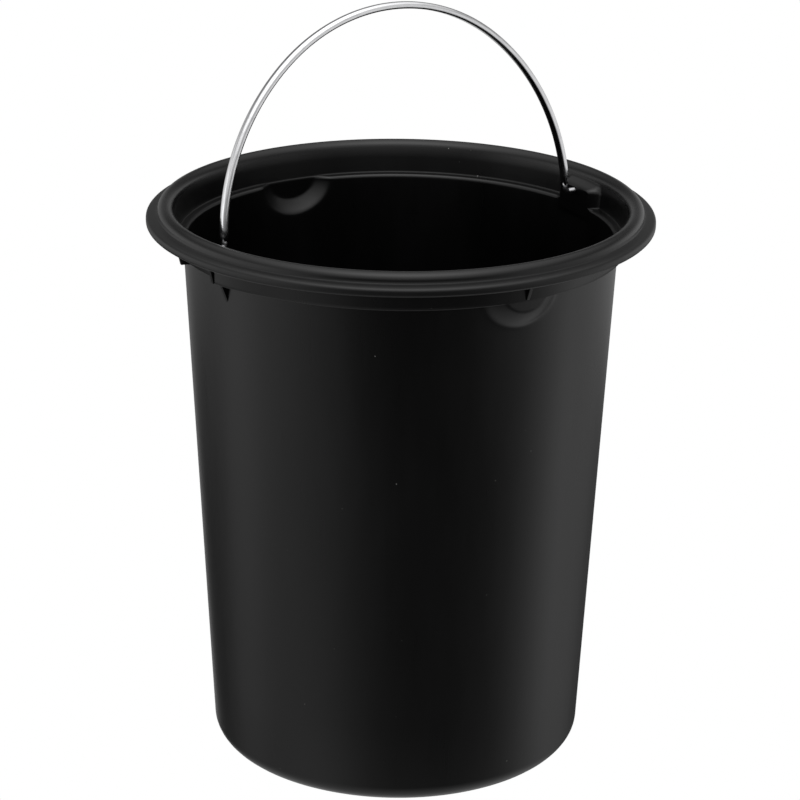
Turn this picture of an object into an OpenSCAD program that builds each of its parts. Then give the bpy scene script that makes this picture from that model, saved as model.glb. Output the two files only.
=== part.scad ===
// Florist bucket: a moulded bucket with a hinged steel strip bail.
// Millimetres. Origin: centre of the bottom. +Z up. The bail hinges about the X axis.

/* [Sub-part] */
// Which sub-part to build

/* [Body] */
// Radius of the main wall where it would meet the bottom
base_r = 82.3; // [76:0.1:86]
// Radius of the main wall under the collar
wall_top_r = 94.1; // [90:0.1:96]
// Thickness of the main wall
wall_t = 1.9; // [1.2:0.1:3]
// Thickness of the bottom above the foot recess
floor_t = 2.0; // [1.2:0.1:4]
// Depth of the recess inside the foot ring
foot_recess = 0.8; // [0:0.1:2]
// Outer radius of the foot recess
foot_recess_r = 68; // [50:1:72]
// Rounding between wall and bottom
corner_r = 8.4; // [4:0.1:16]

/* [Collar and rim] */
// Height of the step under the collar
band_z = 231; // [200:0.5:240]
// Radius of the collar at that step
band_r = 98; // [95:0.1:100]
// Radius of the collar under the flange
band_top_r = 98.9; // [96:0.1:101]
// Height of the ledge inside the collar
ledge_z = 234.6; // [205:0.1:240]
// Inner radius of the collar at the ledge
collar_in_r = 96.3; // [94:0.1:97]
// Inner radius of the collar under the bead
collar_top_in_r = 97.5; // [95:0.1:99]
// Rounding of the edge of the ledge
ledge_edge_r = 1.4; // [0.2:0.1:1.8]
// Chamfer where the ledge meets the collar
ledge_foot = 0.4; // [0.2:0.1:1]
// Outer radius of the flange
flange_r = 110; // [105:0.5:115]
// Height of the outer edge of the flange
flange_z = 243.9; // [215:0.1:250]
// Rise of the flange towards the groove
flange_rise = 0.8; // [0:0.1:2]
// Thickness of the flange and its skirt
flange_t = 1.8; // [1.2:0.1:3]
// Height of the skirt's lower edge
skirt_z = 240.3; // [210:0.1:245]
// Rounding of the flange's outer edge
flange_edge_r = 1.1; // [0.4:0.1:2]
// Rounding of the skirt's lower edge
skirt_edge_r = 1.2; // [0.4:0.1:1.6]
// Radius of the circle that the bead follows
bead_path_r = 101.8; // [98:0.1:105]
// Height of that circle
bead_z = 246.0; // [216:0.1:252]
// Radius of the bead's section
bead_r = 2.9; // [1.5:0.1:4]

/* [Finger pockets] */
// Radius of the round form outside
pocket_out_r = 26.2; // [20:0.1:32]
// Radius of the round form inside
pocket_in_r = 24.4; // [18:0.1:30]
// Distance of its centre from the axis
pocket_path_r = 73.8; // [68:0.1:80]
// Height of its centre
pocket_z = 236.3; // [225:0.1:240]
// Radius of the upright back of the pocket inside
pocket_back_r = 95.7; // [94:0.1:97]

/* [Hinge bosses] */
// Distance of the flat boss face from the axis
boss_face_x = 91.5; // [89:0.1:94]
// Width of the boss
boss_w = 25; // [14:0.5:32]
// Lower edge of the boss
boss_low_z = 229.5; // [222:0.1:234]
// Upper edge of the boss
boss_top_z = 243.4; // [238:0.1:246]
// Rounding of its corners
boss_corner_r = 2.6; // [0.5:0.1:5]
// Height of the hinge axis
pivot_z = 240.5; // [236:0.1:243]
// Running clearance round the peg, on the radius
peg_gap = 0.08; // [0.03:0.01:0.1]

/* [Gussets] */
// Thickness of each gusset under the flange
rib_t = 1.5; // [0.8:0.1:2.5]
// Angle of the hinge gussets from the hinge axis
rib_angle = 7.9; // [4:0.1:12]
// Reach of the hinge gussets under the flange
hinge_rib_r = 103.7; // [100:0.1:107]
// Reach of the hinge gussets at the step
hinge_rib_low_r = 101.1; // [99:0.1:104]
// Height where the long gusset runs out into the wall
tail_z = 221; // [212:0.5:228]
// Reach of the pocket gussets under the flange
pocket_rib_r = 103; // [100:0.1:106]
// Lower end of the pocket gussets and of the short hinge gussets
rib_z = 231.6; // [230:0.1:238]

/* [Bail] */
// Half the distance between the flat inner faces at the hinge axis
bail_in_r = 85.3; // [80:0.1:87]
// Height of the arch to its flat inner face over the hinge axis
bail_rise = 90.7; // [86:0.1:100]
// Radius of the two side arcs, to the flat inner face
bail_side_r = 93.5; // [92:0.5:130]
// Width of the strip
strip_w = 4.2; // [3:0.1:8]
// Thickness of the strip at its crown
strip_t = 3; // [1.5:0.1:4]
// Height of the strip's straight sides
strip_side = 0.9; // [0.2:0.1:1.5]
// Diameter of the round neck and peg
peg_d = 2.6; // [2:0.1:4]
// Distance of the peg's end from the axis
peg_end_x = 101; // [99:0.5:106]
// Chamfer of the peg's end
peg_chamfer = 0.4; // [0:0.1:1]
// Height over the hinge axis where the strip ends
strip_end = 2.2; // [1.5:0.1:4]
// Height over the hinge axis where its point starts
strip_taper = 6.2; // [4:0.1:12]
// Lean of the bail from upright, degrees
bail_lean = 6.5; // [0:0.5:20]

/* [Hidden] */
$fn = 180;
eps = 0.01;
over = 20;
arc_steps = 8;
form_h = 260;
plastic = [0.03, 0.03, 0.032];
steel = [0.78, 0.79, 0.8];
taper = (wall_top_r - base_r) / band_z;
corner_top_r = base_r + taper * corner_r;
in_corner_r = corner_r - wall_t;
in_low_z = foot_recess + floor_t;
in_corner_top_r = base_r + taper * (in_low_z + in_corner_r) - wall_t;
in_top_r = wall_top_r - wall_t;
groove_z = flange_z + flange_rise;
groove_r = bead_path_r + bead_r + 0.5;
bead_in_a = 140;
collar_top_z = groove_z - 1.2;
flange_under = flange_z - flange_t;
tail_r = base_r + (wall_top_r - base_r) / band_z * tail_z;
grip = 0.3;
strip_mid_r = bail_in_r + peg_d / 2;
side_c = bail_side_r - bail_in_r;
top_r = (bail_side_r * bail_side_r - side_c * side_c - bail_rise * bail_rise) / (2 * (bail_side_r - bail_rise));
top_c = bail_rise - top_r;
join_a = atan2(top_c, side_c);
foot_a = asin(strip_end / bail_side_r);

function arc(r0, z0, r, a0, a1) =
    [for (i = [0:arc_steps]) let (a = a0 + (a1 - a0) * i / arc_steps)
        [r0 + r * cos(a), z0 + r * sin(a)]];

// Outside of the bucket as a filled section.
outer_line = concat(
    [[0, foot_recess], [foot_recess_r - foot_recess, foot_recess], [foot_recess_r, 0]],
    arc(corner_top_r - corner_r, corner_r, corner_r, -90, 0),
    [[wall_top_r, band_z], [band_r, band_z], [band_top_r, flange_under],
     [flange_r - flange_t, flange_under], [flange_r - flange_t, skirt_z]],
    arc(flange_r - skirt_edge_r, skirt_z + skirt_edge_r, skirt_edge_r, -90, 0),
    arc(flange_r - flange_edge_r, flange_z - flange_edge_r, flange_edge_r, 0, 90),
    [[groove_r, groove_z]],
    arc(bead_path_r, bead_z, bead_r, -25, bead_in_a),
    [[0, bead_z + bead_r * sin(bead_in_a)]]);

// Inside of the bucket as a filled section.
inner_line = concat(
    [[0, in_low_z]],
    arc(in_corner_top_r - in_corner_r, in_low_z + in_corner_r, in_corner_r, -90, 0),
    [[in_top_r, ledge_z - ledge_edge_r]],
    arc(in_top_r + ledge_edge_r, ledge_z - ledge_edge_r, ledge_edge_r, 180, 90),
    [[collar_in_r - ledge_foot, ledge_z], [collar_in_r, ledge_z + ledge_foot],
     [collar_top_in_r, collar_top_z],
     [bead_path_r + bead_r * cos(bead_in_a), bead_z + bead_r * sin(bead_in_a)],
     [bead_path_r + bead_r * cos(bead_in_a), form_h], [0, form_h]]);

module around(n) {
    for (i = [0:n - 1]) rotate([0, 0, i * 360 / n]) children();
}

module boss() {
    translate([boss_face_x, 0, (boss_low_z + boss_top_z) / 2])
        rotate([90, 0, 90])
            linear_extrude(over) {
                h = boss_top_z - boss_low_z;
                square([boss_w - 2 * boss_corner_r, h], center = true);
                square([boss_w, h - 2 * boss_corner_r], center = true);
                for (x = [-1, 1], y = [-1, 1])
                    translate([x * (boss_w / 2 - boss_corner_r), y * (h / 2 - boss_corner_r)])
                        circle(boss_corner_r);
            }
}

module pocket_form(r, limit_r, top_z) {
    intersection() {
        translate([0, pocket_path_r, pocket_z]) sphere(r);
        translate([0, 0, pocket_z - pocket_out_r])
            cylinder(r = limit_r, h = top_z - pocket_z + pocket_out_r);
    }
}

module gusset(line) {
    rotate([90, 0, 0])
        linear_extrude(rib_t, center = true)
            polygon(concat([[band_r - grip, flange_under + eps]], line));
}

module short_gusset(top_r, low_r) {
    gusset([[top_r, flange_under + eps], [low_r, rib_z], [band_r - grip, rib_z]]);
}

module long_gusset() {
    gusset([[hinge_rib_r, flange_under + eps], [hinge_rib_low_r, band_z],
            [tail_r - grip, tail_z], [tail_r - grip, band_z + eps],
            [band_r - grip, band_z + eps]]);
}

module bucket() {
    color(plastic)
    difference() {
        union() {
            rotate_extrude() polygon(outer_line);
            around(2) pocket_form(pocket_out_r, band_r, band_z + eps);
            around(2) rotate([0, 0, 90]) short_gusset(pocket_rib_r, band_r + 2 * grip);
            around(2) rotate([0, 0, -rib_angle]) short_gusset(hinge_rib_r, hinge_rib_low_r);
            around(2) rotate([0, 0, rib_angle]) long_gusset();
        }
        difference() {
            rotate_extrude() polygon(inner_line);
            around(2) boss();
        }
        around(2) pocket_form(pocket_in_r, pocket_back_r, ledge_z + eps);
        translate([0, 0, pivot_z]) rotate([0, 90, 0])
            cylinder(d = peg_d + 2 * peg_gap, h = 2 * flange_r, center = true);
    }
}

module strip_section() {
    n = 2 * arc_steps;
    polygon(concat(
        [[0, -strip_w / 2]],
        [for (i = [0:n]) let (a = -90 + 180 * i / n)
            [strip_side + (strip_t - strip_side) * cos(a), strip_w / 2 * sin(a)]],
        [[0, strip_w / 2]]));
}

module side_arc() {
    translate([-side_c, 0, 0]) rotate([90, -foot_a, 0])
        rotate_extrude(angle = join_a - foot_a) translate([bail_side_r, 0]) strip_section();
}

module top_arc() {
    translate([0, 0, top_c]) rotate([90, -join_a, 0])
        rotate_extrude(angle = 180 - 2 * join_a) translate([top_r, 0]) strip_section();
}

module strip_point_cut() {
    for (side = [-1, 1])
        translate([bail_in_r - strip_t, 0, 0])
            rotate([90, 0, 90])
                linear_extrude(3 * strip_t)
                    polygon([[side * peg_d / 4, strip_end - eps],
                             [side * (strip_w / 2 + eps), strip_taper],
                             [side * strip_w, strip_taper],
                             [side * strip_w, strip_end - eps]]);
}

module bail_end() {
    translate([strip_mid_r, 0, 0]) {
        cylinder(d = peg_d, h = strip_taper);
        sphere(d = peg_d);
        rotate([0, 90, 0]) {
            cylinder(d = peg_d, h = peg_end_x - strip_mid_r - peg_chamfer);
            translate([0, 0, peg_end_x - strip_mid_r - peg_chamfer - eps])
                cylinder(d1 = peg_d, d2 = peg_d - 2 * peg_chamfer, h = peg_chamfer);
        }
    }
}

module bail() {
    color(steel)
    translate([0, 0, pivot_z]) rotate([-bail_lean, 0, 0]) {
        difference() {
            union() {
                top_arc();
                around(2) side_arc();
            }
            around(2) strip_point_cut();
        }
        around(2) bail_end();
    }
}

bucket();
bail();
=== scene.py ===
import math

import bmesh
import bpy
from mathutils import Matrix, Vector


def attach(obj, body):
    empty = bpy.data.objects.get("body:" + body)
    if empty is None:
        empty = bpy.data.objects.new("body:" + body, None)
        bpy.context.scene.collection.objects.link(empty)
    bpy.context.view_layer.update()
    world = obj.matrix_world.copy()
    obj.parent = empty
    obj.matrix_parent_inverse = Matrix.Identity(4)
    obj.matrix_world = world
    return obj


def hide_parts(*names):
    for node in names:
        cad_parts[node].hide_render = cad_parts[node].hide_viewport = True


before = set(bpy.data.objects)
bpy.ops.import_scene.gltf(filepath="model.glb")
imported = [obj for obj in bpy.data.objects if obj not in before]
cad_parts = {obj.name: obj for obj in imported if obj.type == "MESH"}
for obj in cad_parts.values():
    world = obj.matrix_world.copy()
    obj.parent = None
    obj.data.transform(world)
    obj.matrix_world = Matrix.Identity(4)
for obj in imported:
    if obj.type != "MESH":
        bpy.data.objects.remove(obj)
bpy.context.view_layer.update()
mm = 0.001


class Wire:
    def __init__(self, sheet, socket):
        self.sheet, self.socket = sheet, socket

    def calc(self, operation, *others):
        return self.sheet.node("ShaderNodeMath", {"operation": operation}, [self, *others])

    def __add__(self, other):
        return self.calc("ADD", other)

    def __radd__(self, other):
        return self.calc("ADD", other)

    def __sub__(self, other):
        return self.calc("SUBTRACT", other)

    def __rsub__(self, other):
        return self.sheet.number(other).calc("SUBTRACT", self)

    def __mul__(self, other):
        return self.calc("MULTIPLY", other)

    def __rmul__(self, other):
        return self.calc("MULTIPLY", other)

    def __truediv__(self, other):
        return self.calc("DIVIDE", other)

    def __pow__(self, other):
        return self.calc("POWER", other)

    def __lt__(self, other):
        return self.calc("LESS_THAN", other)


class Sheet:
    def __init__(self, tree):
        self.tree = tree
        tree.nodes.clear()

    def number(self, value):
        wire = self.node("ShaderNodeValue", {}, [])
        wire.socket.default_value = value
        return wire

    def node(self, kind, settings, values, out=0):
        made = self.tree.nodes.new(kind)
        for name, value in settings.items():
            if name == "stops":
                for spot, (place, colour) in enumerate(value):
                    stop = made.color_ramp.elements[spot] if spot < 2 else made.color_ramp.elements.new(place)
                    stop.position, stop.color = place, colour
            else:
                setattr(made, name, value)
        pairs = values.items() if isinstance(values, dict) else enumerate(values)
        for name, value in pairs:
            if isinstance(value, Wire):
                self.tree.links.new(value.socket, made.inputs[name])
            else:
                made.inputs[name].default_value = value
        return Wire(self, made.outputs[out]) if made.outputs else made

    def noise(self, vector, scale, detail=2.0, roughness=0.5):
        return self.node("ShaderNodeTexNoise", {},
                         {"Vector": vector, "Scale": scale, "Detail": detail, "Roughness": roughness})

    def stretch(self, vector, scale):
        return self.node("ShaderNodeMapping", {}, {"Vector": vector, "Scale": scale})

    def ease(self, value, start, end):  # 0 at start, 1 at end, smooth between
        return self.node("ShaderNodeMapRange", {"interpolation_type": "SMOOTHSTEP"},
                         [value, start, end, 0.0, 1.0])

    def apart(self, vector):  # the three numbers of a vector
        outputs = self.node("ShaderNodeSeparateXYZ", {}, [vector]).socket.node.outputs
        return [Wire(self, output) for output in outputs]

    def tint(self, amount, low, high):
        return self.node("ShaderNodeMix", {"data_type": "RGBA"}, {0: amount, 6: low, 7: high}, out=2)


def newFinish(name, constants):
    finish = bpy.data.materials.new(name)
    finish.use_nodes = True
    sheet = Sheet(finish.node_tree)
    place = sheet.node("ShaderNodeTexCoord", {}, {}, out=3)
    skin = finish.node_tree.nodes.new("ShaderNodeBsdfPrincipled")
    for socket, value in constants.items():
        skin.inputs[socket].default_value = value
    sheet.node("ShaderNodeOutputMaterial", {}, {"Surface": Wire(sheet, skin.outputs[0])})
    return finish, sheet, place, skin


def feed(sheet, skin, socket, wire):
    sheet.tree.links.new(wire.socket, skin.inputs[socket])


def keepPiece(name, bm, finish, body, node):
    mesh = bpy.data.meshes.new(name)
    bm.to_mesh(mesh)
    bm.free()
    piece = bpy.data.objects.new(name, mesh)
    bpy.context.scene.collection.objects.link(piece)
    mesh.materials.append(finish)
    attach(piece, body)
    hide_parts(node)
    print(name, "faces", len(mesh.polygons))
    return piece


plasticLook = {
    "colour": (0.0003, 0.0003, 0.00032, 1),
    # the tone the colour takes at random, where the plastic is worn
    "tintShift": (0.0012, 0.0012, 0.0013, 1),
    "dust": (0.16, 0.16, 0.155, 1),
    "wallGloss": 0.29,
    "beadGloss": 0.25,
    "flangeGloss": 0.40,
}


def moulded():
    look = plasticLook
    finish, sheet, place, skin = newFinish("blackMouldedPlastic", {"IOR": 1.49, "Specular IOR Level": 0.28})
    x, y, z = sheet.apart(place)
    radius = (x * x + y * y) ** 0.5
    onBead = sheet.ease(z, 0.2448, 0.2456)
    onFlange = sheet.ease(radius, 0.1046, 0.1054) * sheet.ease(z, 0.2400, 0.2406)
    streaks = sheet.noise(sheet.stretch(place, (1, 1, 0.035)), 420, 3, 0.6)
    broad = sheet.noise(sheet.stretch(place, (1, 1, 0.25)), 34, 3, 0.55)
    grain = sheet.noise(place, 2600, 2, 0.5)
    fine = sheet.noise(place, 900, 3, 0.6)
    specks = sheet.node("ShaderNodeTexVoronoi", {}, {"Vector": place, "Scale": 190.0})
    rare = sheet.noise(place, 55, 2, 0.6)
    dust = (specks < 0.045) * sheet.ease(rare, 0.56, 0.66)
    colour = sheet.tint(sheet.ease(broad, 0.35, 0.75), look["colour"], look["tintShift"])
    feed(sheet, skin, "Base Color", sheet.tint(dust, colour, look["dust"]))
    gloss = look["wallGloss"] + (look["beadGloss"] - look["wallGloss"]) * onBead
    gloss = gloss + (look["flangeGloss"] - look["wallGloss"]) * onFlange
    gloss = gloss + (broad - 0.5) * 0.07 + (streaks - 0.5) * 0.05 + dust * 0.3
    feed(sheet, skin, "Roughness", gloss)
    height = streaks * 0.35 + fine * 0.3 + grain * (0.25 + 0.5 * onFlange) + broad * 0.5
    bump = sheet.node("ShaderNodeBump", {}, {"Strength": 0.09, "Distance": 0.0004, "Height": height})
    feed(sheet, skin, "Normal", bump)
    return finish


steelLook = {
    "colour": (0.70, 0.70, 0.71, 1),
    "streak": (0.50, 0.50, 0.51, 1),
    # darker tint: on scuffs it is wear, on the round neck it is painted shade
    "scuffAndNeckShade": (0.10, 0.10, 0.105, 1),
    "gloss": 0.17,
    "rubbedGloss": 0.34,
}


def brightSteel():
    look = steelLook
    finish, sheet, place, skin = newFinish("brightStripSteel", {"Metallic": 1.0})
    x, y, z = sheet.apart(place)
    rise = z - bailSize["pivotZ"] * mm
    turn = sheet.node("ShaderNodeMath", {"operation": "ARCTAN2"}, [rise, x])
    reach = (x * x + rise * rise) ** 0.5
    sideways = y - rise * math.tan(math.radians(bailSize["lean"]))
    along = sheet.node("ShaderNodeCombineXYZ", {}, [sideways, reach, turn * 0.0022])
    lines = sheet.noise(along, 5200, 3, 0.65)
    cloud = sheet.noise(place, 60, 3, 0.6)
    scuff = sheet.noise(place, 340, 4, 0.7)
    # painted shade: the base colour darkens on the round neck where it runs into the boss; the scuffs mixed
    # in below are real wear
    neck = 1 - sheet.ease(z, (bailSize["pivotZ"] + 1.5) * mm, (bailSize["pivotZ"] + 5.0) * mm)
    tintShift = sheet.ease(scuff, 0.58, 0.78) * 0.25 + neck * 0.75
    brushed = sheet.tint(sheet.ease(lines, 0.35, 0.65), look["streak"], look["colour"])
    feed(sheet, skin, "Base Color", sheet.tint(tintShift, brushed, look["scuffAndNeckShade"]))
    gloss = look["gloss"] + (look["rubbedGloss"] - look["gloss"]) * tintShift
    feed(sheet, skin, "Roughness", gloss + (lines - 0.5) * 0.10 + (cloud - 0.5) * 0.05)
    bump = sheet.node("ShaderNodeBump", {},
                      {"Strength": 0.12, "Distance": 0.0001, "Height": lines + scuff * 0.3})
    feed(sheet, skin, "Normal", bump)
    return finish


bucketSize = {
    "baseRadius": 82.3, "wallTopRadius": 94.1, "stepZ": 231.0, "wall": 1.9,
    "bandRadius": 98.0, "ledgeZ": 234.6, "ledgeRadius": 92.35, "collarInside": 96.3,
    "columns": 384, "crowding": 0.55,
    "pocketPath": 73.8, "pocketZ": 236.3, "pocketRound": 26.2, "pocketInRound": 24.4, "pocketBack": 95.7,
    "pocketReach": 0.3,
    "bossFace": 91.3, "bossWidth": 25.0, "bossLow": 229.3, "bossTop": 243.3, "bossRound": 2.4,
    "bossEdge": 0.5, "bossReach": 0.25,
    "swell": 2.8, "swellAngle": 22.0, "swellLow": 237.5, "swellTop": 241, "bandLift": 1.1,
    "shapedFrom": 205, "shapedRadius": 99.4, "stepMiddle": 93.1, "collarMiddle": 97.1, "collarSlope": 0.09,
}

# radius, height, rounding and its segments, then the cuts in the line that follows
bucketSection = [
    (0, 0.8, 0, 0, 6), (67.2, 0.8, 0.5, 2, 0), (68.0, 0.0, 0.4, 2, 1), (82.3, 0.0, 8.1, 10, 6),
    (93.08, 211.0, 0, 0, 25), (94.1, 231.0, 0.5, 3, 4), (98.0, 231.0, 0.4, 3, 8), (98.9, 242.1, 0.8, 3, 2),
    (108.2, 242.1, 0.7, 3, 0), (108.2, 240.3, 0.4, 2, 0), (109.98, 240.3, 1.2, 5, 0),
    (109.98, 243.95, 1.15, 5, 2), (105.1, 244.7, 0.12, 1, 0), (104.85, 248.9, 3.0, 10, 0),
    (98.9, 248.9, 2.8, 8, 0), (97.5, 243.5, 1.6, 4, 13), (96.3, 234.6, 0.12, 1, 3),
    (92.35, 234.6, 1.4, 6, 24), (91.28, 214.0, 0, 0, 6), (80.5, 2.8, 6.4, 8, 4), (0, 2.8, 0, 0, 0),
]


def drawSection(bm, corners):
    line = [bm.verts.new((r * mm, 0, z * mm)) for r, z, *_ in corners]
    for a, b in zip(line, line[1:]):
        bm.edges.new((a, b))
    longest = [(a.co.copy(), b.co.copy(), corner[4]) for a, b, corner in zip(line, line[1:], corners)]
    for point, corner in zip(line, corners):
        if corner[2]:
            bmesh.ops.bevel(bm, geom=[point], offset=corner[2] * mm, offset_type="OFFSET",
                            segments=corner[3], profile=0.5, affect="VERTICES", material=-1)
    for start, end, cuts in longest:
        if not cuts:
            continue
        run = (end - start).normalized()
        for edge in bm.edges[:]:
            a, b = edge.verts[0].co, edge.verts[1].co
            onLine = all((p - start - run * (p - start).dot(run)).length < 1e-6 for p in (a, b))
            inside = all(-1e-6 < (p - start).dot(run) < (end - start).length + 1e-6 for p in (a, b))
            if onLine and inside and edge.calc_length() > 0.4 * (end - start).length:
                bmesh.ops.subdivide_edges(bm, edges=[edge], cuts=cuts)
                break


def softMax(a, b, soft):
    return (a + b + math.sqrt((a - b) ** 2 + soft * soft)) / 2


def easeStep(value, start, end):
    t = min(max((value - start) / (end - start), 0.0), 1.0)
    return t * t * (3 - 2 * t)


def roundForm(radius, turn, z):  # how far out the ball of a finger pocket reaches
    s = bucketSize
    left = radius ** 2 - (z - s["pocketZ"]) ** 2 - (s["pocketPath"] * math.sin(turn)) ** 2
    return s["pocketPath"] * math.cos(turn) + math.sqrt(left) if left > 0 else 0.0


def pressPockets(r, z, turn, outside):
    s = bucketSize
    pocketTurn = abs(abs(turn) - math.pi / 2)
    if pocketTurn >= s["pocketReach"]:
        return r
    if outside and z < s["stepZ"] + 0.2:
        ball = min(roundForm(s["pocketRound"], pocketTurn, z), s["bandRadius"] - 0.02)
        r = max(r, min(softMax(r, ball, 0.5), s["bandRadius"]))
    if not outside and z < s["ledgeZ"] + 0.05:
        ball = min(roundForm(s["pocketInRound"], pocketTurn, z), s["pocketBack"])
        if z < s["ledgeZ"] - 1.35:
            r = max(r, min(softMax(r, ball, 0.45), s["pocketBack"]))
        elif ball > s["ledgeRadius"]:  # the ledge narrows behind the pocket
            full = s["collarInside"] - s["ledgeRadius"]
            r = s["collarInside"] - (s["collarInside"] - r) * (s["collarInside"] - ball) / full
    return r


def pushBoss(r, z, bossTurn):  # a flat-faced boss stands in from the collar
    s = bucketSize
    height = s["bossTop"] - s["bossLow"]
    across = abs(r * math.sin(bossTurn))
    dx = max(across - (s["bossWidth"] / 2 - s["bossRound"]), 0)
    dz = max(abs(z - (s["bossLow"] + s["bossTop"]) / 2) - (height / 2 - s["bossRound"]), 0)
    beyond = math.hypot(dx, dz) - s["bossRound"]
    inward = min(s["bossFace"] / math.cos(bossTurn) - r, 0)
    return r + inward * (1 - easeStep(beyond, -s["bossEdge"], s["bossEdge"]))


def swellBand(r, z, bossTurn):  # the band swells past the long gusset and lifts between the two
    s = bucketSize
    gussetTurn = math.radians(gussetSize["hingeAngle"])
    outward = min(max((r - s["wallTopRadius"]) / (s["bandRadius"] - s["wallTopRadius"]), 0), 1)
    if gussetTurn < bossTurn < gussetTurn + math.radians(s["swellAngle"]):
        fade = 1 - easeStep(math.degrees(bossTurn - gussetTurn), 0, s["swellAngle"])
        r += s["swell"] * fade * outward * (1 - easeStep(z, s["swellLow"], s["swellTop"]))
    elif abs(bossTurn) < gussetTurn and z < s["stepZ"] + 3:
        z += s["bandLift"] * (1 - easeStep(z, s["stepZ"] + 0.8, s["stepZ"] + 3))
    return r, z


def shapeBucket(bm):
    s = bucketSize
    slope = (s["wallTopRadius"] - s["baseRadius"]) / s["stepZ"]
    for point in bm.verts:
        x, y, z = point.co / mm
        r, turn = math.hypot(x, y), math.atan2(y, x)
        if z < s["shapedFrom"] or z > s["bossTop"] + 3 or r > s["shapedRadius"]:
            continue
        if z < s["stepZ"] - 0.1:
            middle = s["baseRadius"] + slope * z - s["wall"] / 2
        elif z < s["stepZ"] + 1:
            middle = s["stepMiddle"]
        else:
            middle = s["collarMiddle"] + s["collarSlope"] * (z - s["stepZ"])
        outside = r > middle
        # the long gusset is on the positive side
        bossTurn = turn if abs(turn) < math.pi / 2 else turn - math.copysign(math.pi, turn)
        r = pressPockets(r, z, turn, outside)
        if not outside and abs(bossTurn) < s["bossReach"] and z > s["bossLow"] - 4:
            r = pushBoss(r, z, bossTurn)
        if outside and z > s["stepZ"] - 0.45:
            r, z = swellBand(r, z, bossTurn)
        point.co = Vector((r * math.cos(turn), r * math.sin(turn), z)) * mm


gussetSize = {
    "thick": 1.5, "edge": 0.25, "flatArea": 2.0, "hingeAngle": 7.9,
    "long": [(97.6, 242.3), (103.7, 242.3), (101.1, 231.0), (93.3, 220.8), (93.3, 231.2), (97.6, 231.2)],
    "short": [(97.6, 242.3), (103.7, 242.3), (101.1, 231.6), (97.6, 231.6)],
    "pocket": [(97.6, 242.3), (103.0, 242.3), (98.6, 231.6), (97.6, 231.6)],
}


def addGussets(bm):
    s = gussetSize
    for half in (0, 180):
        for kind, angle in (("long", s["hingeAngle"]), ("short", -s["hingeAngle"]), ("pocket", 90)):
            new = bmesh.new()
            corners = [new.verts.new((r * mm, -s["thick"] / 2 * mm, z * mm)) for r, z in s[kind]]
            side = bmesh.ops.contextual_create(new, geom=corners)["faces"]
            grown = bmesh.ops.extrude_face_region(new, geom=side)
            fresh = [g for g in grown["geom"] if isinstance(g, bmesh.types.BMVert)]
            bmesh.ops.translate(new, verts=fresh, vec=(0, s["thick"] * mm, 0))
            bmesh.ops.bevel(new, geom=new.edges[:], offset=s["edge"] * mm, offset_type="OFFSET", segments=3,
                            profile=0.5, affect="EDGES", material=-1)
            turn = Matrix.Rotation(math.radians(half + angle), 3, "Z")
            bmesh.ops.rotate(new, cent=(0, 0, 0), matrix=turn, verts=new.verts[:])
            bmesh.ops.recalc_face_normals(new, faces=new.faces[:])
            for face in new.faces:  # the flat sides stay flat
                face.smooth = face.calc_area() < s["flatArea"] * mm * mm
            joinPart(bm, new)


def joinPart(bm, new):
    part = bpy.data.meshes.new("part")
    new.to_mesh(part)
    new.free()
    bm.from_mesh(part)
    bpy.data.meshes.remove(part)


def makeBucket(finish):
    bm = bmesh.new()
    drawSection(bm, bucketSection)
    bmesh.ops.spin(bm, geom=bm.verts[:] + bm.edges[:], cent=(0, 0, 0), axis=(0, 0, 1),
                   angle=2 * math.pi, steps=bucketSize["columns"], use_merge=True)
    bmesh.ops.remove_doubles(bm, verts=bm.verts[:], dist=1e-6)
    for point in bm.verts:  # crowd the columns round the bosses and pockets
        r, turn = math.hypot(point.co.x, point.co.y), math.atan2(point.co.y, point.co.x)
        turn -= bucketSize["crowding"] * math.sin(4 * turn) / 4
        point.co.x, point.co.y = r * math.cos(turn), r * math.sin(turn)
    shapeBucket(bm)
    bmesh.ops.dissolve_degenerate(bm, dist=2e-6, edges=bm.edges[:])
    bmesh.ops.recalc_face_normals(bm, faces=bm.faces[:])
    for face in bm.faces:
        face.smooth = True
    addGussets(bm)
    return keepPiece("bucketShell", bm, finish, "bucket_body", "bucket")


bailSize = {
    "innerRadius": 85.3, "rise": 90.6, "sideArc": 93.5,
    "width": 4.2, "thick": 3.0, "crown": 1.6, "edge": 0.75,
    "pivotZ": 240.5, "stripEnd": 2.2, "taperStart": 5.8, "point": 0.35, "pointX": 1.1, "lean": 6.5,
    "neckX": 1.25, "neckTop": 6.0, "neckBend": 2.0, "neckScale": 0.86,
    "peg": 1.3, "pegEnd": 101.0, "pegChamfer": 0.45, "pegTip": 0.7,
    "sideSteps": 44, "topSteps": 64,
}


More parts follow.
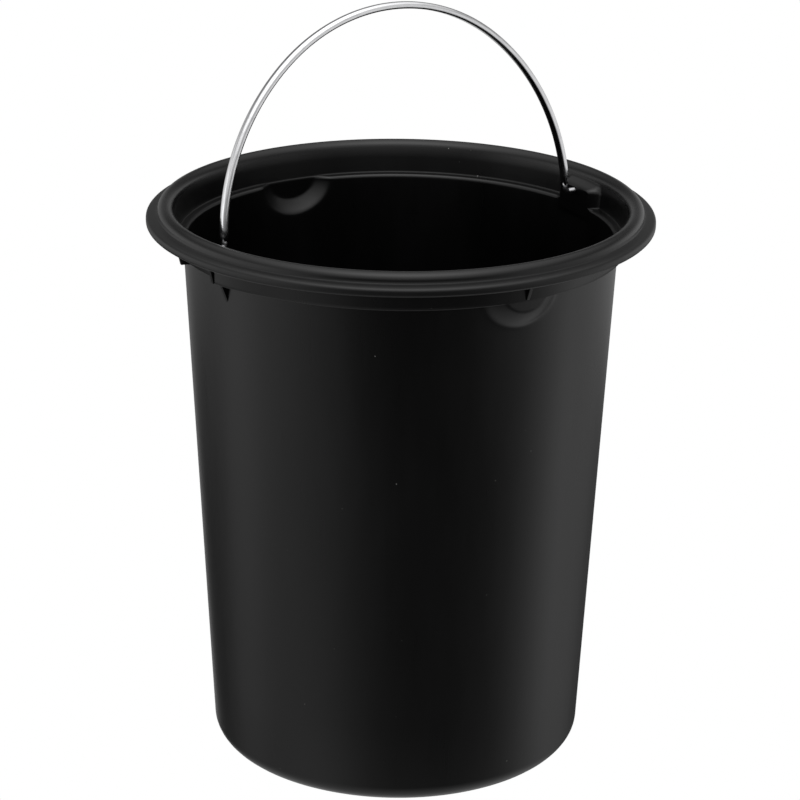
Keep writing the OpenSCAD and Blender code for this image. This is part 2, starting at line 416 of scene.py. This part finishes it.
def sweepStrip(bm):
    s = bailSize
    half, thick = s["width"] / 2, s["thick"]
    spots = [(0, -half, s["edge"], 2), (thick, -half, s["crown"], 7),
             (thick, half, s["crown"], 7), (0, half, s["edge"], 2)]
    ring = [bm.verts.new(((s["innerRadius"] + x) * mm, y * mm, 0)) for x, y, *_ in spots]
    for a, b in zip(ring, ring[1:] + ring[:1]):
        bm.edges.new((a, b))
    for point, spot in zip(ring, spots):
        bmesh.ops.bevel(bm, geom=[point], offset=spot[2] * mm, offset_type="OFFSET", segments=spot[3],
                        profile=0.5, affect="VERTICES", material=-1)
    # a tight arc at the top runs into two slacker side arcs
    out, rise, side = s["sideArc"] - s["innerRadius"], s["rise"], s["sideArc"]
    topArc = (side ** 2 - out ** 2 - rise ** 2) / (2 * (side - rise))
    join = math.atan2(rise - topArc, out)
    foot = math.asin(s["stripEnd"] / side)
    start = Matrix.Rotation(-foot, 3, "Y")
    bmesh.ops.rotate(bm, cent=(-out * mm, 0, 0), matrix=start, verts=bm.verts[:])
    moving = bm.verts[:] + bm.edges[:]
    arcs = [(-out, 0, join - foot, s["sideSteps"]),
            (0, rise - topArc, math.pi - 2 * join, s["topSteps"]),
            (out, 0, join - foot, s["sideSteps"])]
    for x, z, angle, steps in arcs:
        swept = bmesh.ops.spin(bm, geom=moving, cent=(x * mm, 0, z * mm), axis=(0, -1, 0), angle=angle,
                               steps=steps, use_merge=False)
        moving = [part for part in swept["geom_last"] if not isinstance(part, bmesh.types.BMFace)]
    bmesh.ops.holes_fill(bm, edges=[e for e in bm.edges if e.is_boundary], sides=0)


def makeBail(finish):
    s = bailSize
    bm = bmesh.new()
    sweepStrip(bm)
    for point in bm.verts:  # draw both ends out to a point
        z = point.co.z / mm
        if z < s["taperStart"]:
            amount = max((z - s["stripEnd"]) / (s["taperStart"] - s["stripEnd"]), 0)
            keep = s["point"] + (1 - s["point"]) * math.sin(amount * math.pi / 2)
            side = 1 if point.co.x > 0 else -1
            middle = (s["innerRadius"] + s["pointX"]) * mm
            point.co.y *= keep
            point.co.x = side * (middle + (abs(point.co.x) - middle) * keep)
    bmesh.ops.recalc_face_normals(bm, faces=bm.faces[:])
    for side in (1, -1):
        addNeck(bm, side)
    for face in bm.faces:
        face.smooth = True
    lean = Matrix.Rotation(math.radians(-s["lean"]), 4, "X")
    lift = Matrix.Translation((0, 0, s["pivotZ"] * mm))
    bmesh.ops.transform(bm, matrix=lift @ lean, verts=bm.verts[:])
    return keepPiece("bailStrip", bm, finish, "bail_body", "bail")


def addNeck(bm, side):  # the round neck bends outwards into the peg
    s = bailSize
    new = bmesh.new()
    bend, small, x = s["neckBend"], s["neckScale"], s["innerRadius"] + s["neckX"]
    bmesh.ops.create_circle(new, segments=24, radius=s["peg"] * mm)
    bmesh.ops.scale(new, vec=(small, small, 1), verts=new.verts[:])
    bmesh.ops.translate(new, verts=new.verts[:], vec=(x * mm, 0, s["neckTop"] * mm))
    grown = bmesh.ops.extrude_edge_only(new, edges=new.edges[:])
    fresh = [g for g in grown["geom"] if isinstance(g, bmesh.types.BMVert)]
    bmesh.ops.translate(new, verts=fresh, vec=(0, 0, -(s["neckTop"] - bend) * mm))
    loop = [g for g in grown["geom"] if isinstance(g, bmesh.types.BMEdge)]
    bent = bmesh.ops.spin(new, geom=fresh + loop, cent=((x + bend) * mm, 0, bend * mm),
                          axis=(0, -1, 0), angle=math.pi / 2, steps=10, use_merge=False)
    last = [g for g in bent["geom_last"] if isinstance(g, bmesh.types.BMVert)]
    lastEdges = [g for g in bent["geom_last"] if isinstance(g, bmesh.types.BMEdge)]
    bmesh.ops.scale(new, vec=(1, 1 / small, 1 / small), verts=last)
    straight = s["pegEnd"] - s["pegChamfer"] - x - bend
    for reach, size in ((straight, 1.0), (s["pegChamfer"], s["pegTip"])):
        grown = bmesh.ops.extrude_edge_only(new, edges=lastEdges)
        fresh = [g for g in grown["geom"] if isinstance(g, bmesh.types.BMVert)]
        lastEdges = [g for g in grown["geom"] if isinstance(g, bmesh.types.BMEdge)]
        bmesh.ops.translate(new, verts=fresh, vec=(reach * mm, 0, 0))
        bmesh.ops.scale(new, vec=(1, size, size), verts=fresh)
    bmesh.ops.holes_fill(new, edges=[e for e in new.edges if e.is_boundary], sides=0)
    if side < 0:
        halfTurn = Matrix.Rotation(math.pi, 3, "Z")
        bmesh.ops.rotate(new, cent=(0, 0, 0), matrix=halfTurn, verts=new.verts[:])
    bmesh.ops.recalc_face_normals(new, faces=new.faces[:])
    joinPart(bm, new)


studio = {
    "cameraPlace": (-0.63548, -1.01792, 0.59765), "lens": 129.97,
    "pitch": 20.162, "heading": -32.0, "roll": 0.656,
    "floorSize": 24.0, "floorDrop": 0.0002, "lampHeight": 75.0, "brightest": 4.0, "underLight": 0.20,
}


def makeCamera():
    camera = bpy.data.objects.new("camera", bpy.data.cameras.new("camera"))
    camera.data.lens, camera.data.sensor_width = studio["lens"], 36
    camera.data.clip_end = 50
    turn = (Matrix.Rotation(math.radians(studio["heading"]), 4, "Z")
            @ Matrix.Rotation(math.radians(90 - studio["pitch"]), 4, "X")
            @ Matrix.Rotation(math.radians(studio["roll"]), 4, "Z"))
    camera.matrix_world = Matrix.Translation(studio["cameraPlace"]) @ turn
    bpy.context.scene.collection.objects.link(camera)
    bpy.context.scene.camera = camera


def makeFloor():
    bm = bmesh.new()
    bmesh.ops.create_grid(bm, x_segments=1, y_segments=1, size=studio["floorSize"] / 2)
    mesh = bpy.data.meshes.new("floor")
    bm.to_mesh(mesh)
    bm.free()
    floor = bpy.data.objects.new("floor", mesh)
    floor.location.z = -studio["floorDrop"]
    bpy.context.scene.collection.objects.link(floor)
    paper = bpy.data.materials.new("palePaper")
    paper.use_nodes = True
    sheet = Sheet(paper.node_tree)
    glow = sheet.node("ShaderNodeEmission", {}, {"Color": (1, 1, 1, 1), "Strength": 1.0})
    sheet.node("ShaderNodeOutputMaterial", {}, {"Surface": glow})
    mesh.materials.append(paper)
    floor.visible_glossy = False
    floor.visible_diffuse = False
    floor.visible_shadow = False


# brightness below the horizon by compass angle: 0.5 is towards the camera, more is to its right
lowLight = [
    (0.0, 0.6), (0.03, 0.6), (0.075, 0.05), (0.125, 0.04), (0.165, 0.12), (0.20, 0.50), (0.235, 0.85),
    (0.28, 0.72), (0.33, 0.55), (0.38, 0.38), (0.44, 0.12), (0.50, 0.04), (0.59, 0.04), (0.65, 0.08),
    (0.70, 0.32), (0.74, 0.85), (0.785, 1.25), (0.82, 0.65), (0.87, 0.30), (0.92, 0.08), (0.97, 0.05),
    (1.0, 0.3),
]
# the same, lower down
floorLight = [
    (0.0, 0.6), (0.03, 0.5), (0.083, 0.12), (0.126, 0.04), (0.183, 0.22), (0.23, 0.33), (0.265, 0.42),
    (0.30, 0.60), (0.33, 0.80), (0.36, 0.86), (0.39, 0.80), (0.417, 0.62), (0.443, 0.42), (0.47, 0.30),
    (0.505, 0.17), (0.55, 0.13), (0.60, 0.12), (0.66, 0.18), (0.693, 0.28), (0.726, 0.44), (0.763, 0.60),
    (0.805, 0.58), (0.857, 0.32), (0.92, 0.08), (0.97, 0.05), (1.0, 0.3),
]
# the same, round the horizon
sideLight = [
    (0.0, 0.3), (0.10, 0.4), (0.17, 1.0), (0.24, 1.6), (0.33, 1.6), (0.38, 0.9), (0.43, 0.12),
    (0.50, 0.03), (0.57, 0.1), (0.62, 0.5), (0.67, 1.0), (0.85, 1.0), (0.93, 0.5), (1.0, 0.3),
]
# brightness above the horizon, 1 in the middle of the large lamp
highLight = [
    (0.0, 0.04), (0.16, 0.06), (0.26, 0.22), (0.40, 0.6), (0.56, 1.0), (0.70, 1.45), (0.80, 1.8),
    (0.87, 2.2), (0.933, 2.9), (0.966, 3.5), (1.0, 4.0),
]


def greyRamp(sheet, stops, along):
    most = studio["brightest"]
    greys = [(place, (level / most, level / most, level / most, 1)) for place, level in stops]
    return sheet.node("ShaderNodeValToRGB", {"stops": greys}, [along])


def makeWorld():
    world = bpy.data.worlds.new("studioLight")
    bpy.context.scene.world = world
    world.use_nodes = True
    sheet = Sheet(world.node_tree)
    x, y, z = sheet.apart(sheet.node("ShaderNodeTexCoord", {}, {}, out=0))
    heading = math.radians(studio["heading"] - 90)
    forward = x * math.cos(heading) + y * math.sin(heading)
    across = y * math.cos(heading) - x * math.sin(heading)
    turn = sheet.node("ShaderNodeMath", {"operation": "ARCTAN2"}, [across, forward]) / (2 * math.pi) + 0.5
    low = greyRamp(sheet, lowLight, turn)
    lowest = greyRamp(sheet, floorLight, turn)
    low = sheet.tint(sheet.ease(z * -1, 0.43, 0.55), low, lowest)
    lift = math.radians(studio["lampHeight"])
    high = greyRamp(sheet, highLight, forward * math.cos(lift) + z * math.sin(lift))
    side = greyRamp(sheet, sideLight, turn)
    high = sheet.node("ShaderNodeMix", {"data_type": "RGBA", "blend_type": "LIGHTEN"},
                      {0: 1 - sheet.ease(z, 0.1, 0.5), 6: high, 7: side}, out=2)
    level = sheet.tint(sheet.ease(z, -0.37, -0.30), low, high)
    under = studio["underLight"]
    level = sheet.tint(sheet.ease(z * -1, 0.5, 0.95), level, (under, under, under, 1))
    lit = sheet.node("ShaderNodeBackground", {}, {"Color": level, "Strength": studio["brightest"]})
    plain = sheet.node("ShaderNodeBackground", {}, {"Color": (1, 1, 1, 1), "Strength": 1.0})
    seen = sheet.node("ShaderNodeLightPath", {}, {})  # the camera sees plain white
    both = sheet.node("ShaderNodeMixShader", {}, {0: seen, 1: lit, 2: plain})
    sheet.node("ShaderNodeOutputWorld", {}, {"Surface": both})


bpy.context.scene.view_settings.view_transform = "Standard"
makeCamera()
makeFloor()
makeWorld()
print("studio ready")
bucket = makeBucket(moulded())
bail = makeBail(brightSteel())
print("pieces ready")
